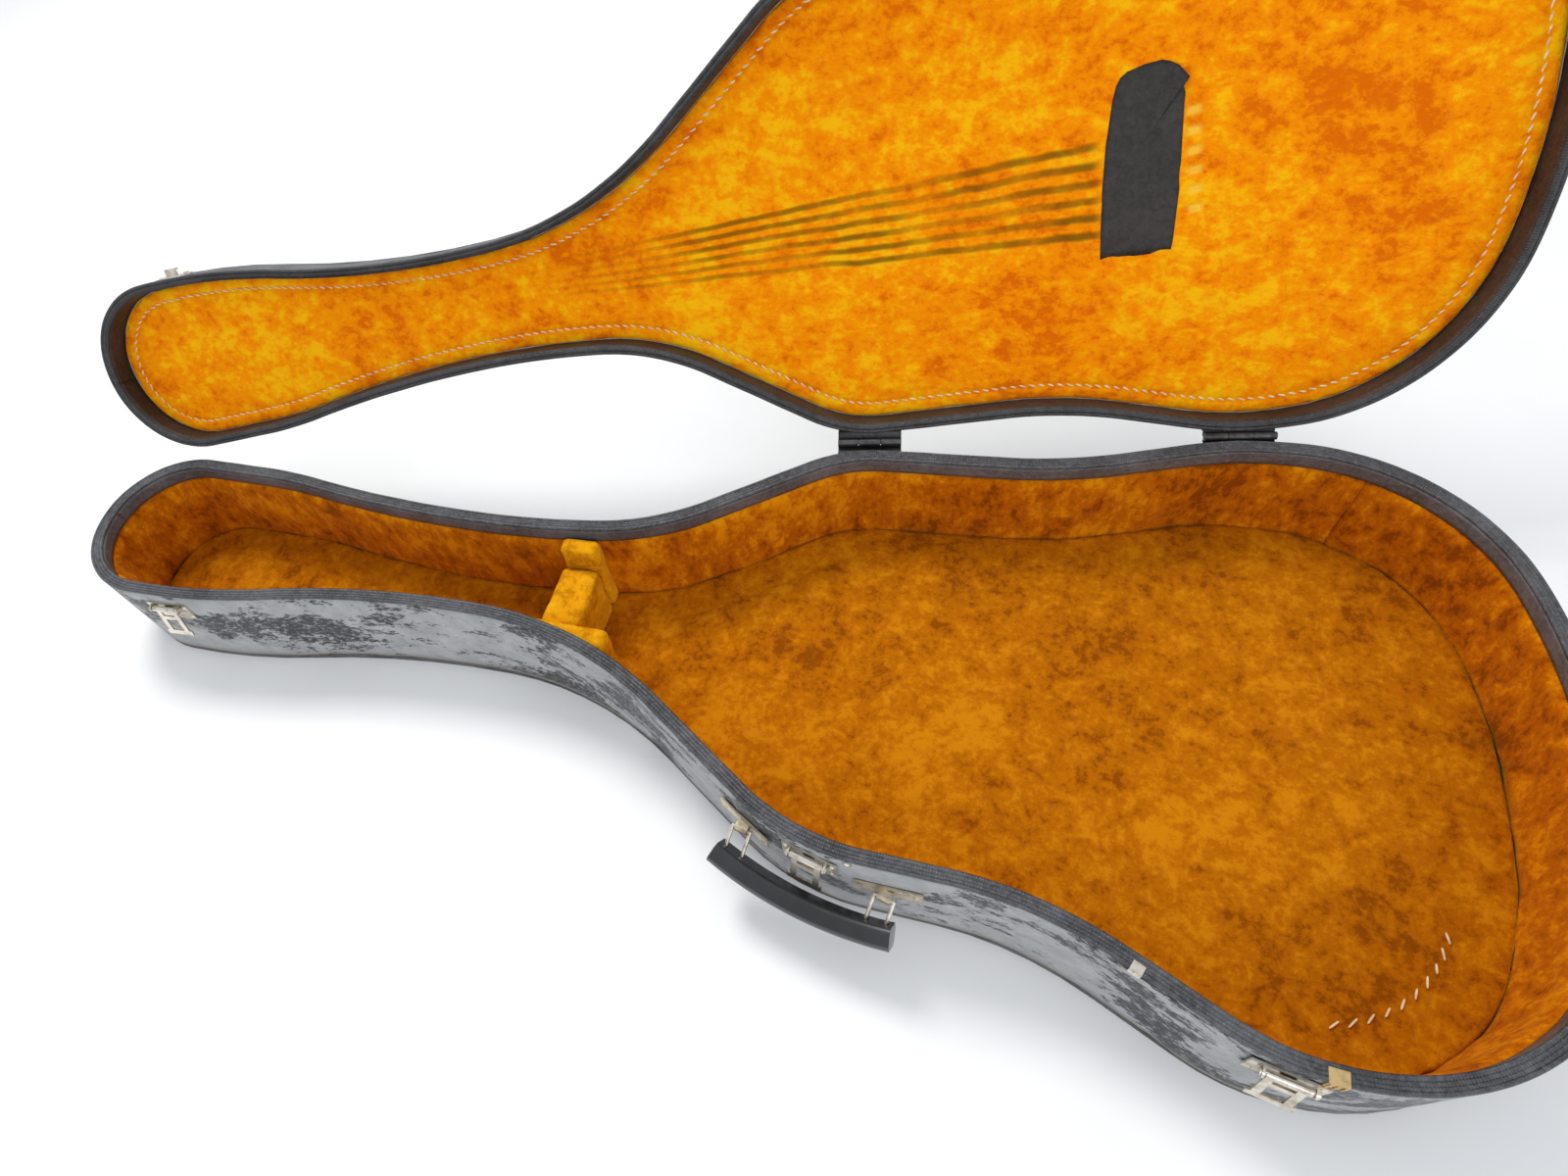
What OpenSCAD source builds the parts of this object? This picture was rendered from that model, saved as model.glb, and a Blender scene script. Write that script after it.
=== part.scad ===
// Hard-shell case for a full-size classical guitar, shown with its lid standing open.
// X runs along the case from the head (-X) to the tail (+X), +Y is the hinge side, +Z is up.
// The origin is on the underside, half-way along the length. The lid, its liner and its
// hardware are laid out closed and then turned back about the hinge line.

/* [Shell] */
// height of the base's walls, underside to rim
base_h = 98; // [80:1:130]
// height of the lid's walls
lid_h = 30; // [20:1:50]
// overall length of the case
case_l = 1120; // [1050:1:1180]
// thickness of the vinyl-covered bottom and top boards
board_t = 6; // [4:0.5:9]
// thickness of the vinyl glued round the sides
cover_t = 1; // [0.6:0.1:1.5]
// thickness of the base's bent plywood sides
base_ply_t = 7; // [4:0.5:9]
// thickness of the lid's bent plywood sides
lid_ply_t = 5; // [4:0.5:8]
// thickness of the binding over both rims
binding_t = 2.4; // [1.5:0.1:4]
// closed gap between the two rims
rim_gap = 0.4; // [0.3:0.1:1]

/* [Lining] */
// depth of the dark vinyl band inside the base, below the rim
band_h = 15; // [8:1:25]
// thickness of the dark vinyl band inside the base
band_t = 2; // [1:0.5:3]
// thickness of the dark vinyl inside the lid's sides
lid_band_t = 1; // [0.6:0.1:2]
// thickness of the plush on the base's walls
plush_t = 4; // [2:0.5:8]
// thickness of the padded plush on the floor
floor_t = 4; // [2:0.5:10]
// thickness of the padded plush panel in the lid
liner_t = 3; // [2:0.5:8]
// height of the neck rest's cheeks below the rim
rest_drop = 8; // [4:1:20]

/* [Lid hinges] */
// angle the lid stands open
open_angle = 118; // [0:1:120]
// turn of the hinge line from the case's long axis
hinge_turn = 9.65; // [6:0.05:13]
// distance of the hinge line from the origin, seen from above
hinge_off = 158.4; // [158:0.1:166]
// length of each hinge
hinge_l = 50; // [30:1:70]
// radius of the hinge knuckles
knuckle_r = 3; // [2.5:0.1:4]
// radius of the hinge pins
hinge_pin_r = 1.5; // [1:0.1:2]

/* [Latches] */
// distance along the case of the three latches
latch_x = [-453, 115, 384];
// depth of the three latch pins below the rim
latch_drop = [16, 16, 13];
// width of a latch plate
latch_w = 38; // [28:1:50]
// height of a latch plate
latch_h = 20; // [14:1:30]
// length of a hasp from its pin
hasp_l = 30; // [24:1:40]
// lean of a hanging hasp away from the wall
hasp_lean = 12; // [5:1:40]
// radius of a latch pin
latch_pin_r = 1.5; // [1:0.1:2]

/* [Handle] */
// distance along the case of the two handle plates
handle_x = [66, 166];
// depth of the handle's swivel line below the rim
handle_drop = 38; // [30:1:60]
// length of the grip
grip_l = 128; // [100:1:150]
// width of the grip across its flat side
grip_w = 18; // [12:1:26]
// thickness of the grip, front to back
grip_t = 15; // [10:1:22]
// how far the middle of the grip bows out
grip_bow = 8; // [0:1:16]
// length of the wire loops, swivel line to grip
loop_l = 21; // [14:1:30]
// slope of the hanging handle below level
handle_fall = 35; // [20:1:60]
// radius of the loop wire
wire_r = 1.3; // [1:0.1:2]

/* [Hidden] */
$fn = 48;
half_l = case_l / 2;
// flat distance allowed between an arc and the chords that draw it
sag = 0.25;
// round pins turn in holes this much larger in radius
run = 0.05;
// plates and leaves stand this far off the wall they are fixed to
off = 0.15;
sheet_t = 1.3;
rivet_r = 2.1;
rivet_h = 1;

// Each side is a run of tangent arcs from the middle of the head, heading across the case:
// [radius, turn]; a negative radius hollows the side inwards; [0, length] is a straight.
far_side = [[70, 90], [0, 60], [400, 8], [-1100, 8], [-813, 8], [-190, 28], [0, 88], [112, 32],
            [0, 92], [-340, 15], [0, 45], [230, 19]];
near_side = [[74, 90], [560, 13], [-830, 13], [-290, 33], [0, 90], [165, 33], [0, 50],
             [-245, 24], [0, 54], [132, 24]];
far_corner = 142;
near_corner = 145;
tail_r = 420;

rim_z = base_h;
lid_z = base_h + rim_gap;
top_z = lid_z + lid_h;
wall_in = cover_t + base_ply_t;
lid_wall_in = cover_t + lid_ply_t;
lining_in = wall_in + plush_t;
floor_z = board_t + floor_t;
plush_top = rim_z - band_h;
hinge_z = rim_z + rim_gap / 2;

// ---------- outline ----------
// Points along one side, moved inwards by d.
function walk(segs, i, p, h, d) =
  i >= len(segs) ? [] :
  let (r = segs[i][0], t = segs[i][1])
  r == 0 ?
    let (q = p + t * [cos(h), sin(h)]) concat([q], walk(segs, i + 1, q, h, d)) :
    let (
      s = sign(r),
      k = r - d,
      c = p + k * [sin(h), -cos(h)],
      n = ceil(t / (2 * acos(1 - sag / abs(k)))),
      e = h - s * t,
      q = c + k * [-sin(e), cos(e)]
    )
    concat([for (j = [1:n]) let (a = h - s * t * j / n) c + k * [-sin(a), cos(a)]],
           walk(segs, i + 1, q, e, d));

// The rounded corner and half of the slightly domed tail that follow a side.
function tail_end(x1, y1, corner_r, d) =
  let (
    rc = corner_r - d,
    rt = tail_r - d,
    cx = half_l - tail_r + sqrt(pow(rt - rc, 2) - pow(y1 - rc, 2)),
    phi = asin((cx - half_l + tail_r) / (rt - rc))
  )
  concat([for (j = [0:12]) [cx, y1 - rc] + rc * [sin(phi * j / 12), cos(phi * j / 12)]],
         [for (j = [1:3]) let (a = phi + (90 - phi) * j / 3)
           [half_l - tail_r + rt * sin(a), rt * cos(a)]]);

// One whole side with y positive, head to tail, moved inwards by d.
function side(segs, corner_r, d) =
  let (s = concat([[-half_l + d, 0]], walk(segs, 0, [-half_l + d, 0], 90, d)), q = s[len(s) - 1])
  concat(s, tail_end(q[0], q[1], corner_r, d));

function far_pts(d) = side(far_side, far_corner, d);
function near_pts(d) = [for (p = side(near_side, near_corner, d)) [p[0], -p[1]]];
function backwards(v) = [for (i = [len(v) - 1:-1:0]) v[i]];

module plan(d) {
  polygon(concat(far_pts(d), backwards(near_pts(d))));
}

module slab(d, z0, z1) {
  translate([0, 0, z0]) linear_extrude(z1 - z0) plan(d);
}

// Upright strip along one side, d0 to d1 inside the outline.
module far_strip(d0, d1, z0, z1) {
  translate([0, 0, z0]) linear_extrude(z1 - z0)
    polygon(concat(far_pts(d0), backwards(far_pts(d1))));
}

module near_strip(d0, d1, z0, z1) {
  translate([0, 0, z0]) linear_extrude(z1 - z0)
    polygon(concat(near_pts(d0), backwards(near_pts(d1))));
}

module ring(d0, d1, z0, z1) {
  translate([0, 0, z0]) linear_extrude(z1 - z0) difference() {
    plan(d0);
    plan(d1);
  }
}

// Keeps what lies between two stations along the case.
module between_x(x0, x1) {
  intersection() {
    children();
    translate([x0, -case_l / 2, -1]) cube([x1 - x0, case_l, top_z + 2]);
  }
}

// Outer face of the near wall at a station, and the direction it runs there.
near_outer = near_pts(0);
near_table = [for (p = near_outer) if (p[0] > -half_l + 5 && p[0] < half_l - 60) p];
function near_y(x) = lookup(x, near_table);
function near_dir(x) = atan2(near_y(x + 3) - near_y(x - 3), 6);

// Stands children on the near wall: local +Y points out of the case.
module on_near_wall(x, z) {
  translate([x, near_y(x), z]) rotate([0, 0, near_dir(x) + 180]) children();
}

// Turns children laid out closed to where the standing lid carries them.
module on_open_lid() {
  translate([-hinge_off * sin(hinge_turn), hinge_off * cos(hinge_turn), hinge_z])
    rotate([0, 0, hinge_turn]) rotate([-open_angle, 0, 0]) rotate([0, 0, -hinge_turn])
      translate([hinge_off * sin(hinge_turn), -hinge_off * cos(hinge_turn), -hinge_z])
        children();
}

// ---------- base shell ----------
module base_panel() {
  color([0.05, 0.05, 0.055]) slab(0, 0, board_t);
}

module base_side_far() {
  color([0.55, 0.42, 0.28]) far_strip(cover_t, wall_in, board_t, rim_z - binding_t);
}

module base_side_near() {
  color([0.55, 0.42, 0.28]) near_strip(cover_t, wall_in, board_t, rim_z - binding_t);
}

module base_cover_far() {
  color([0.09, 0.09, 0.1]) far_strip(0, cover_t, board_t, rim_z - binding_t);
}

module base_cover_near() {
  color([0.42, 0.43, 0.44]) near_strip(0, cover_t, board_t, rim_z - binding_t);
}

// Wrapped over the rim, with two low beads along its top.
module base_binding() {
  bead_h = 0.6;
  color([0.13, 0.13, 0.15]) {
    ring(0, wall_in + band_t, rim_z - binding_t, rim_z - bead_h);
    ring(0.4, 3.2, rim_z - bead_h, rim_z);
    ring(5, 7.4, rim_z - bead_h, rim_z);
  }
}

module base_band_far() {
  color([0.2, 0.2, 0.21]) far_strip(wall_in, wall_in + band_t, plush_top, rim_z - binding_t);
}

module base_band_near() {
  color([0.1, 0.1, 0.11]) near_strip(wall_in, wall_in + band_t, plush_top, rim_z - binding_t);
}

// ---------- base lining ----------
head_seam = -395;
tail_seam = 455;

module lining_head() {
  color([0.75, 0.38, 0.06]) between_x(-half_l, head_seam)
    ring(wall_in, lining_in, board_t, plush_top);
}

module lining_far() {
  color([0.8, 0.45, 0.05]) between_x(head_seam, tail_seam)
    far_strip(wall_in, lining_in, board_t, plush_top);
}

module lining_near() {
  color([0.8, 0.45, 0.05]) between_x(head_seam, tail_seam)
    near_strip(wall_in, lining_in, board_t, plush_top);
}

module lining_tail() {
  color([0.8, 0.45, 0.05]) between_x(tail_seam, half_l)
    ring(wall_in, lining_in, board_t, plush_top);
}

module floor_pad() {
  color([0.8, 0.47, 0.05]) slab(lining_in, board_t, floor_z);
}

// Two padded cheeks hold the neck; a lower block between them carries it.
rest_x0 = -134;
rest_far_y = 36;
rest_near_y = -26;
rest_top = rim_z - rest_drop;
saddle_top = rim_z - 28;

module rest_block(x1, y0, y1, z1) {
  translate([rest_x0, y0, floor_z]) cube([x1 - rest_x0, y1 - y0, z1 - floor_z]);
}

module within_lining() {
  intersection() {
    children();
    slab(lining_in + off, 0, top_z);
  }
}

module neck_rest_far() {
  color([0.85, 0.5, 0.05]) within_lining() rest_block(-100, rest_far_y, 90, rest_top);
}

module neck_rest_near() {
  color([0.85, 0.5, 0.05]) within_lining() rest_block(-66, -90, rest_near_y, rest_top);
}

module neck_rest_saddle() {
  color([0.85, 0.5, 0.05]) rest_block(-100, rest_near_y, rest_far_y, saddle_top);
}

// ---------- lid shell ----------
module lid_panel() {
  color([0.05, 0.05, 0.055]) on_open_lid() slab(0, top_z - board_t, top_z);
}

lid_under = top_z - board_t;

module lid_side_far() {
  color([0.55, 0.42, 0.28]) on_open_lid()
    far_strip(cover_t, lid_wall_in, lid_z + binding_t, lid_under);
}

module lid_side_near() {
  color([0.55, 0.42, 0.28]) on_open_lid()
    near_strip(cover_t, lid_wall_in, lid_z + binding_t, lid_under);
}

module lid_cover_far() {
  color([0.09, 0.09, 0.1]) on_open_lid() far_strip(0, cover_t, lid_z + binding_t, lid_under);
}

module lid_cover_near() {
  color([0.09, 0.09, 0.1]) on_open_lid() near_strip(0, cover_t, lid_z + binding_t, lid_under);
}

module lid_binding() {
  color([0.1, 0.1, 0.11]) on_open_lid()
    ring(0, lid_wall_in + lid_band_t, lid_z, lid_z + binding_t);
}

module lid_band_far() {
  color([0.16, 0.08, 0.05]) on_open_lid()
    far_strip(lid_wall_in, lid_wall_in + lid_band_t, lid_z + binding_t, lid_under);
}

module lid_band_near() {
  color([0.1, 0.1, 0.11]) on_open_lid()
    near_strip(lid_wall_in, lid_wall_in + lid_band_t, lid_z + binding_t, lid_under);
}

module lid_liner() {
  color([0.93, 0.58, 0.06]) on_open_lid()
    slab(lid_wall_in + lid_band_t + 1, lid_under - liner_t, lid_under);
}

// Vinyl patch over the place where the bridge rubs; its outer corner is torn.
patch_t = 1.2;
patch_pts = [[276, 77], [292, -35], [298, -41], [321, -43], [333, -36], [337, -27], [324, 81]];

module bridge_patch() {
  color([0.06, 0.06, 0.06]) on_open_lid()
    translate([0, 0, lid_under - liner_t - patch_t]) linear_extrude(patch_t) polygon(patch_pts);
}

// ---------- lid hinges ----------
hinge_u = [121, 396];
// distance of the wall's outer face from the origin at each hinge, across the hinge line
hinge_wall = [150.95, 154.6];
knuckle_l = 16;
leaf_h = 18;
leaf_gap = 4;

// Local X runs along the hinge line, local Y points away from the case, local Z is up.
module on_hinge_line(u) {
  rotate([0, 0, hinge_turn]) translate([u, hinge_off, hinge_z]) children();
}

module along_x(l) {
  rotate([90, 0, 90]) translate([0, 0, -l / 2]) linear_extrude(l) children();
}

module knuckle_bore(l) {
  rotate([0, 90, 0]) cylinder(r = hinge_pin_r + run, h = l, center = true);
}

// A leaf flat on the wall at depth w, stepped out to its knuckle. Drawn below the pin.
module leaf(w) {
  bottom = -leaf_gap - leaf_h;
  web = sheet_t / 2;
  polygon([[w + off, bottom], [w + off + sheet_t, bottom], [w + off + sheet_t, -leaf_gap - sheet_t],
           [web, -leaf_gap - sheet_t], [web, 0], [-web, 0], [-web, -leaf_gap],
           [w + off, -leaf_gap]]);
}

module leaf_plate(w) {
  intersection() {
    along_x(hinge_l) leaf(w);
    translate([-hinge_l / 2, -40, -leaf_gap - leaf_h]) cube([hinge_l, 80, leaf_h]);
  }
}

module base_leaf(i) {
  w = hinge_wall[i] - hinge_off;
  on_hinge_line(hinge_u[i]) difference() {
    union() {
      leaf_plate(w);
      for (s = [-1, 1]) translate([s * (hinge_l - knuckle_l) / 2, 0, 0]) {
        along_x(knuckle_l) leaf(w);
        along_x(knuckle_l) circle(knuckle_r);
      }
    }
    knuckle_bore(hinge_l + 2);
  }
}

module lid_leaf(i) {
  w = hinge_wall[i] - hinge_off;
  mid_l = hinge_l - 2 * knuckle_l - 1;
  on_open_lid() on_hinge_line(hinge_u[i]) difference() {
    union() {
      mirror([0, 0, 1]) leaf_plate(w);
      mirror([0, 0, 1]) along_x(mid_l) leaf(w);
      along_x(mid_l) circle(knuckle_r);
    }
    knuckle_bore(hinge_l + 2);
  }
}

module hinge_leaf_base_upper() {
  color([0.7, 0.66, 0.55]) base_leaf(0);
}

module hinge_leaf_base_lower() {
  color([0.7, 0.66, 0.55]) base_leaf(1);
}

module hinge_leaf_lid_upper() {
  color([0.7, 0.66, 0.55]) lid_leaf(0);
}

module hinge_leaf_lid_lower() {
  color([0.7, 0.66, 0.55]) lid_leaf(1);
}

module hinge_pins() {
  color([0.75, 0.72, 0.65]) for (u = hinge_u) on_hinge_line(u) rotate([0, 90, 0])
    cylinder(r = hinge_pin_r, h = hinge_l, center = true);
}

// Domed rivet head standing on the plane y = 0.
module rivet() {
  dome_r = 2.9;
  rotate([-90, 0, 0]) intersection() {
    cylinder(r = rivet_r, h = rivet_h);
    translate([0, 0, rivet_h - dome_r]) sphere(dome_r);
  }
}

module leaf_rivets(i, s) {
  w = hinge_wall[i] - hinge_off + off + sheet_t;
  for (x = [-19, 19], z = [-10, -17]) translate([x, w, s * z]) rivet();
}

module hinge_rivets_base() {
  color([0.75, 0.72, 0.65]) for (i = [0, 1]) on_hinge_line(hinge_u[i]) leaf_rivets(i, 1);
}

module hinge_rivets_lid() {
  color([0.75, 0.72, 0.65]) for (i = [0, 1])
    on_open_lid() on_hinge_line(hinge_u[i]) leaf_rivets(i, -1);
}

// ---------- latches ----------
pin_out = 4.6;
ear_x = 12;
ear_r = 3;
plate_above = 3;

module on_latch(i) {
  on_near_wall(latch_x[i], rim_z - latch_drop[i]) children();
}

module latch_plate(i) {
  color([0.78, 0.73, 0.62]) on_latch(i) {
    translate([-latch_w / 2, off, plate_above - latch_h]) cube([latch_w, sheet_t, latch_h]);
    for (s = [-1, 1]) translate([s * (ear_x + sheet_t / 2), 0, 0]) difference() {
      along_x(sheet_t) {
        translate([pin_out, 0]) circle(ear_r);
        translate([off + sheet_t / 2, -ear_r]) square([pin_out - sheet_t / 2, 2 * ear_r]);
      }
      translate([0, pin_out, 0]) rotate([0, 90, 0])
        cylinder(r = latch_pin_r + run, h = 4, center = true);
    }
  }
}

module latch_plate_head() { latch_plate(0); }
module latch_plate_middle() { latch_plate(1); }
module latch_plate_tail() { latch_plate(2); }

module latch_pins() {
  pin_l = 2 * ear_x + 2 * sheet_t + 0.4;
  color([0.8, 0.78, 0.72]) for (i = [0:2]) on_latch(i) translate([0, pin_out, 0])
    rotate([0, 90, 0]) {
      cylinder(r = latch_pin_r, h = pin_l, center = true);
      for (s = [-1, 1]) translate([0, 0, s * (pin_l / 2 + 0.4)])
        cylinder(r = latch_pin_r + 0.8, h = 0.8, center = true);
    }
}

module latch_rivets() {
  color([0.8, 0.78, 0.72]) for (i = [0:2]) on_latch(i)
    for (x = [-16, 16], z = [-13.5, -0.5]) translate([x, off + sheet_t, z]) rivet();
}

// H-shaped frame that hangs from the pin and swings up over the lid's hook.
module hasp(i) {
  arm_in = 5.8;
  arm_out = 10.2;
  flare = 12.4;
  knuckle = 2.5;
  frame_t = 1.4;
  heel_l = 4;
  color([0.82, 0.78, 0.7]) on_latch(i) translate([0, pin_out, 0])
    rotate([hasp_lean, 0, 0]) difference() {
      union() {
        along_x(2 * ear_x - 2) circle(knuckle);
        translate([0, frame_t / 2, 0]) rotate([90, 0, 0]) linear_extrude(frame_t) {
          for (s = [-1, 1]) translate([s * (arm_in + arm_out) / 2, -hasp_l / 2])
            square([arm_out - arm_in, hasp_l], center = true);
          translate([-arm_out, -12]) square([2 * arm_out, 4]);
          translate([-flare, -hasp_l]) square([2 * flare, 5]);
        }
        rotate([-hasp_lean - 42, 0, 0]) translate([-4, -0.6, -heel_l]) cube([8, 1.2, heel_l]);
      }
      rotate([0, 90, 0]) cylinder(r = latch_pin_r + run, h = 40, center = true);
    }
}

module hasp_head() { hasp(0); }
module hasp_middle() { hasp(1); }
module hasp_tail() { hasp(2); }

// Plate on the lid with a hook for the hasp between two small upright tabs.
module lid_catch(i) {
  reach = hasp_l - latch_drop[i];
  foot = 1.6;
  color([0.82, 0.78, 0.7]) on_open_lid() on_near_wall(latch_x[i], rim_z) {
    translate([-11, off, foot]) cube([22, sheet_t, reach + 3]);
    translate([-4, off, reach - 11]) cube([8, 7, 5.6]);
    translate([-4, off + 5.6, reach - 5.4]) cube([8, 1.4, 2.4]);
    for (s = [-1, 1]) translate([s * 8.6 - 0.7, off, reach - 4]) cube([1.4, 2.6, 6]);
  }
}

module lid_catch_head() { lid_catch(0); }
module lid_catch_middle() { lid_catch(1); }
module lid_catch_tail() { lid_catch(2); }

// ---------- handle ----------
swivel_out = 6.5;
lug_plate_off = 0.7;
left_end = [handle_x[0], near_y(handle_x[0])];
right_end = [handle_x[1], near_y(handle_x[1])];
handle_dir = atan2(right_end[1] - left_end[1], right_end[0] - left_end[0]);
handle_span = norm(right_end - left_end);
handle_mid = (left_end + right_end) / 2;
plate_l = 44;
plate_h = 14;
lug_l = 9;
lug_r = 2.9;
lug_back = swivel_out - 2.2;

// Local X along the swivel line, local +Y away from the case, origin half-way between plates.
module on_swivel() {
  translate([handle_mid[0], handle_mid[1], rim_z - handle_drop])
    rotate([0, 0, handle_dir + 180]) translate([0, swivel_out, 0]) children();
}

// s is +1 for the head-side end and -1 for the tail-side end.
module handle_plate(i, s) {
  color([0.74, 0.68, 0.55]) difference() {
    union() {
      on_near_wall(handle_x[i], rim_z - handle_drop)
        translate([-plate_l / 2, lug_plate_off, -plate_h / 2])
          cube([plate_l, sheet_t, plate_h]);
      on_swivel() translate([s * handle_span / 2, 0, 0]) along_x(lug_l) {
        circle(lug_r);
        translate([-lug_back, -lug_r]) square([lug_back, 2 * lug_r]);
      }
    }
    on_swivel() translate([s * handle_span / 2, 0, 0]) rotate([0, 90, 0])
      cylinder(r = wire_r + run, h = lug_l + 8, center = true);
  }
}

module handle_plate_head() { handle_plate(0, 1); }
module handle_plate_tail() { handle_plate(1, -1); }

module handle_rivets() {
  color([0.8, 0.76, 0.68]) for (x = handle_x) on_near_wall(x, rim_z - handle_drop)
    for (r = [-18, 18]) translate([r, lug_plate_off + sheet_t, 0]) rivet();
}

// Local -Z runs from the swivel line to the grip.
module on_fall() {
  on_swivel() rotate([90 - handle_fall, 0, 0]) children();
}

loop_w = 13;

// Rectangular ring of round wire, held in the plate's lug and in the grip's end.
module wire_loop(s) {
  color([0.85, 0.82, 0.75]) on_fall() translate([s * handle_span / 2, 0, 0]) {
    for (z = [0, -loop_l]) translate([0, 0, z]) rotate([0, 90, 0])
      cylinder(r = wire_r, h = loop_w, center = true);
    for (x = [-1, 1]) translate([x * loop_w / 2, 0, 0]) {
      translate([0, 0, -loop_l]) cylinder(r = wire_r, h = loop_l);
      for (z = [0, -loop_l]) translate([0, 0, z]) sphere(wire_r);
    }
  }
}

module wire_loop_head() { wire_loop(1); }
module wire_loop_tail() { wire_loop(-1); }

// The grip is a bowed bar with rounded faces; a slot at each end clears the wire loop.
grip_r = (grip_l * grip_l / 4 + grip_bow * grip_bow) / (2 * grip_bow);
grip_half = asin(grip_l / 2 / grip_r);

module grip_section() {
  intersection() {
    square([grip_t, grip_w], center = true);
    circle(d = sqrt(grip_t * grip_t + grip_w * grip_w) - 4);
  }
}

module handle_grip() {
  slot_t = 2 * wire_r + 0.8;
  color([0.03, 0.03, 0.035]) on_fall() difference() {
    translate([0, 0, grip_r - grip_bow - loop_l]) rotate([90, 0, 0])
      rotate([0, 0, -90 - grip_half]) rotate_extrude(angle = 2 * grip_half, $fn = 180)
        translate([grip_r, 0]) grip_section();
    for (s = [-1, 1]) translate([s * handle_span / 2, 0, 0]) {
      translate([0, 0, -loop_l]) rotate([0, 90, 0])
        cylinder(r = wire_r + run, h = loop_w + 2 * wire_r + 1, center = true);
      for (x = [-1, 1]) translate([x * loop_w / 2, 0, -loop_l + 10 - wire_r - 0.3])
        cube([slot_t, slot_t, 20], center = true);
    }
  }
}

// ---------- rim trim ----------
// Thickness of what lies on the rim itself, thin enough for the lid to close over it.
fold_t = 0.25;

// Ribbed tab folded over the rim beside the tail latch.
module rim_tab() {
  color([0.72, 0.56, 0.3]) on_near_wall(402, rim_z) {
    translate([-5, -7, 0.02]) cube([10, 8.1, fold_t]);
    translate([-5, off, -9]) cube([10, 1, 9.1]);
    for (x = [-3.4, 0, 3.4]) translate([x - 0.6, off + 0.9, -8.4]) cube([1.2, 0.7, 8]);
  }
}

module rim_clip() {
  color([0.85, 0.82, 0.74]) on_near_wall(305, rim_z) {
    translate([-3.5, -5, 0.02]) cube([7, 5.9, fold_t]);
    translate([-3.5, off, -6]) cube([7, 0.9, 6.1]);
    translate([0, off + 0.9, -3]) rotate([-90, 0, 0]) cylinder(r = 1.1, h = 0.6);
  }
}

module rim_stud() {
  color([0.88, 0.86, 0.8]) on_near_wall(140, rim_z - 6) translate([0, off, 0]) {
    rotate([-90, 0, 0]) cylinder(r = 3, h = 0.9);
    translate([0, 0.9, 0]) rivet();
  }
}

base_panel();
base_side_far();
base_side_near();
base_cover_far();
base_cover_near();
base_binding();
base_band_far();
base_band_near();
lining_head();
lining_far();
lining_near();
lining_tail();
floor_pad();
neck_rest_far();
neck_rest_near();
neck_rest_saddle();
lid_panel();
lid_side_far();
lid_side_near();
lid_cover_far();
lid_cover_near();
lid_binding();
lid_band_far();
lid_band_near();
lid_liner();
bridge_patch();
hinge_leaf_base_upper();
hinge_leaf_base_lower();
hinge_leaf_lid_upper();
hinge_leaf_lid_lower();
hinge_pins();
hinge_rivets_base();
hinge_rivets_lid();
latch_plate_head();
latch_plate_middle();
latch_plate_tail();
latch_pins();
latch_rivets();
hasp_head();
hasp_middle();
hasp_tail();
lid_catch_head();
lid_catch_middle();
lid_catch_tail();
handle_plate_head();
handle_plate_tail();
handle_rivets();
wire_loop_head();
wire_loop_tail();
handle_grip();
rim_tab();
rim_clip();
rim_stud();
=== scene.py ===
import math

import bmesh
import bpy
import numpy as np
from mathutils import Matrix, Vector, noise


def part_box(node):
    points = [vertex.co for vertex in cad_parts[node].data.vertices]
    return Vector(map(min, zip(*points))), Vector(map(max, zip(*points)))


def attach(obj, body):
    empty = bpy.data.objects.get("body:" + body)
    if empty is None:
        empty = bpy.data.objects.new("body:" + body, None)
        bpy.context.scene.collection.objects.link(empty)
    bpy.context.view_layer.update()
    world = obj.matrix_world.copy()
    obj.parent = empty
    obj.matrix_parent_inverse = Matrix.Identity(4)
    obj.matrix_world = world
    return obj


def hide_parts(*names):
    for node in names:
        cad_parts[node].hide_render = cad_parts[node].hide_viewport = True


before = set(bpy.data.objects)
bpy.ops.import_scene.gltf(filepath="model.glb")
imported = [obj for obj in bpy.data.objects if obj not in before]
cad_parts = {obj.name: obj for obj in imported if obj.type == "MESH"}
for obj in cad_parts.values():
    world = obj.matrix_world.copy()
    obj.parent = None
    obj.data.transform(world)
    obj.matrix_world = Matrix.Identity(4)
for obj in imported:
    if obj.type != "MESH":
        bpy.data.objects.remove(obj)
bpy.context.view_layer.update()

# ---- sizes of the case, in metres, as in the CAD ----
HALF = 0.560                        # half of the length
RIM = 0.098                         # height of the base's rim
LID_Z = 0.0984                      # the shut lid's rim
LID_TOP = 0.1284                    # the shut lid's outer face
BOARD = 0.006                       # thickness of the bottom board and the lid's board
BINDING = 0.0024                    # thickness of the binding on a rim
COVER = 0.001                       # thickness of the outer vinyl
BASE_PLY = 0.007                    # thickness of the bent sides
LID_PLY = 0.005
WALL_IN = COVER + BASE_PLY          # depths inside the outline: the wall's inner face,
BAND_IN = WALL_IN + 0.002           # the vinyl band inside the rim
LINING_IN = WALL_IN + 0.004         # and the plush on the walls
LID_WALL_IN = COVER + LID_PLY       # the same for the lid's wall
LID_BAND_IN = LID_WALL_IN + 0.001   # and the vinyl inside it
LINER_IN = 0.008                    # edge of the lid's padded panel
LINER_THICK = 0.003
PLUSH_TOP = 0.083                   # where the wall plush meets the vinyl band
FLOOR_THICK = 0.004
FLOOR = BOARD + FLOOR_THICK
LID_UNDER = LID_TOP - BOARD         # inner face of the lid's board
HINGE_OFF = 0.1584                  # distance of the hinge line from the origin, in plan
HINGE_Z = 0.0982
HINGE_TURN = math.radians(9.65)
OPEN = math.radians(118)
HEAD_SEAM = -0.395                  # seams of the wall plush, along the length
TAIL_SEAM = 0.455
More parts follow.
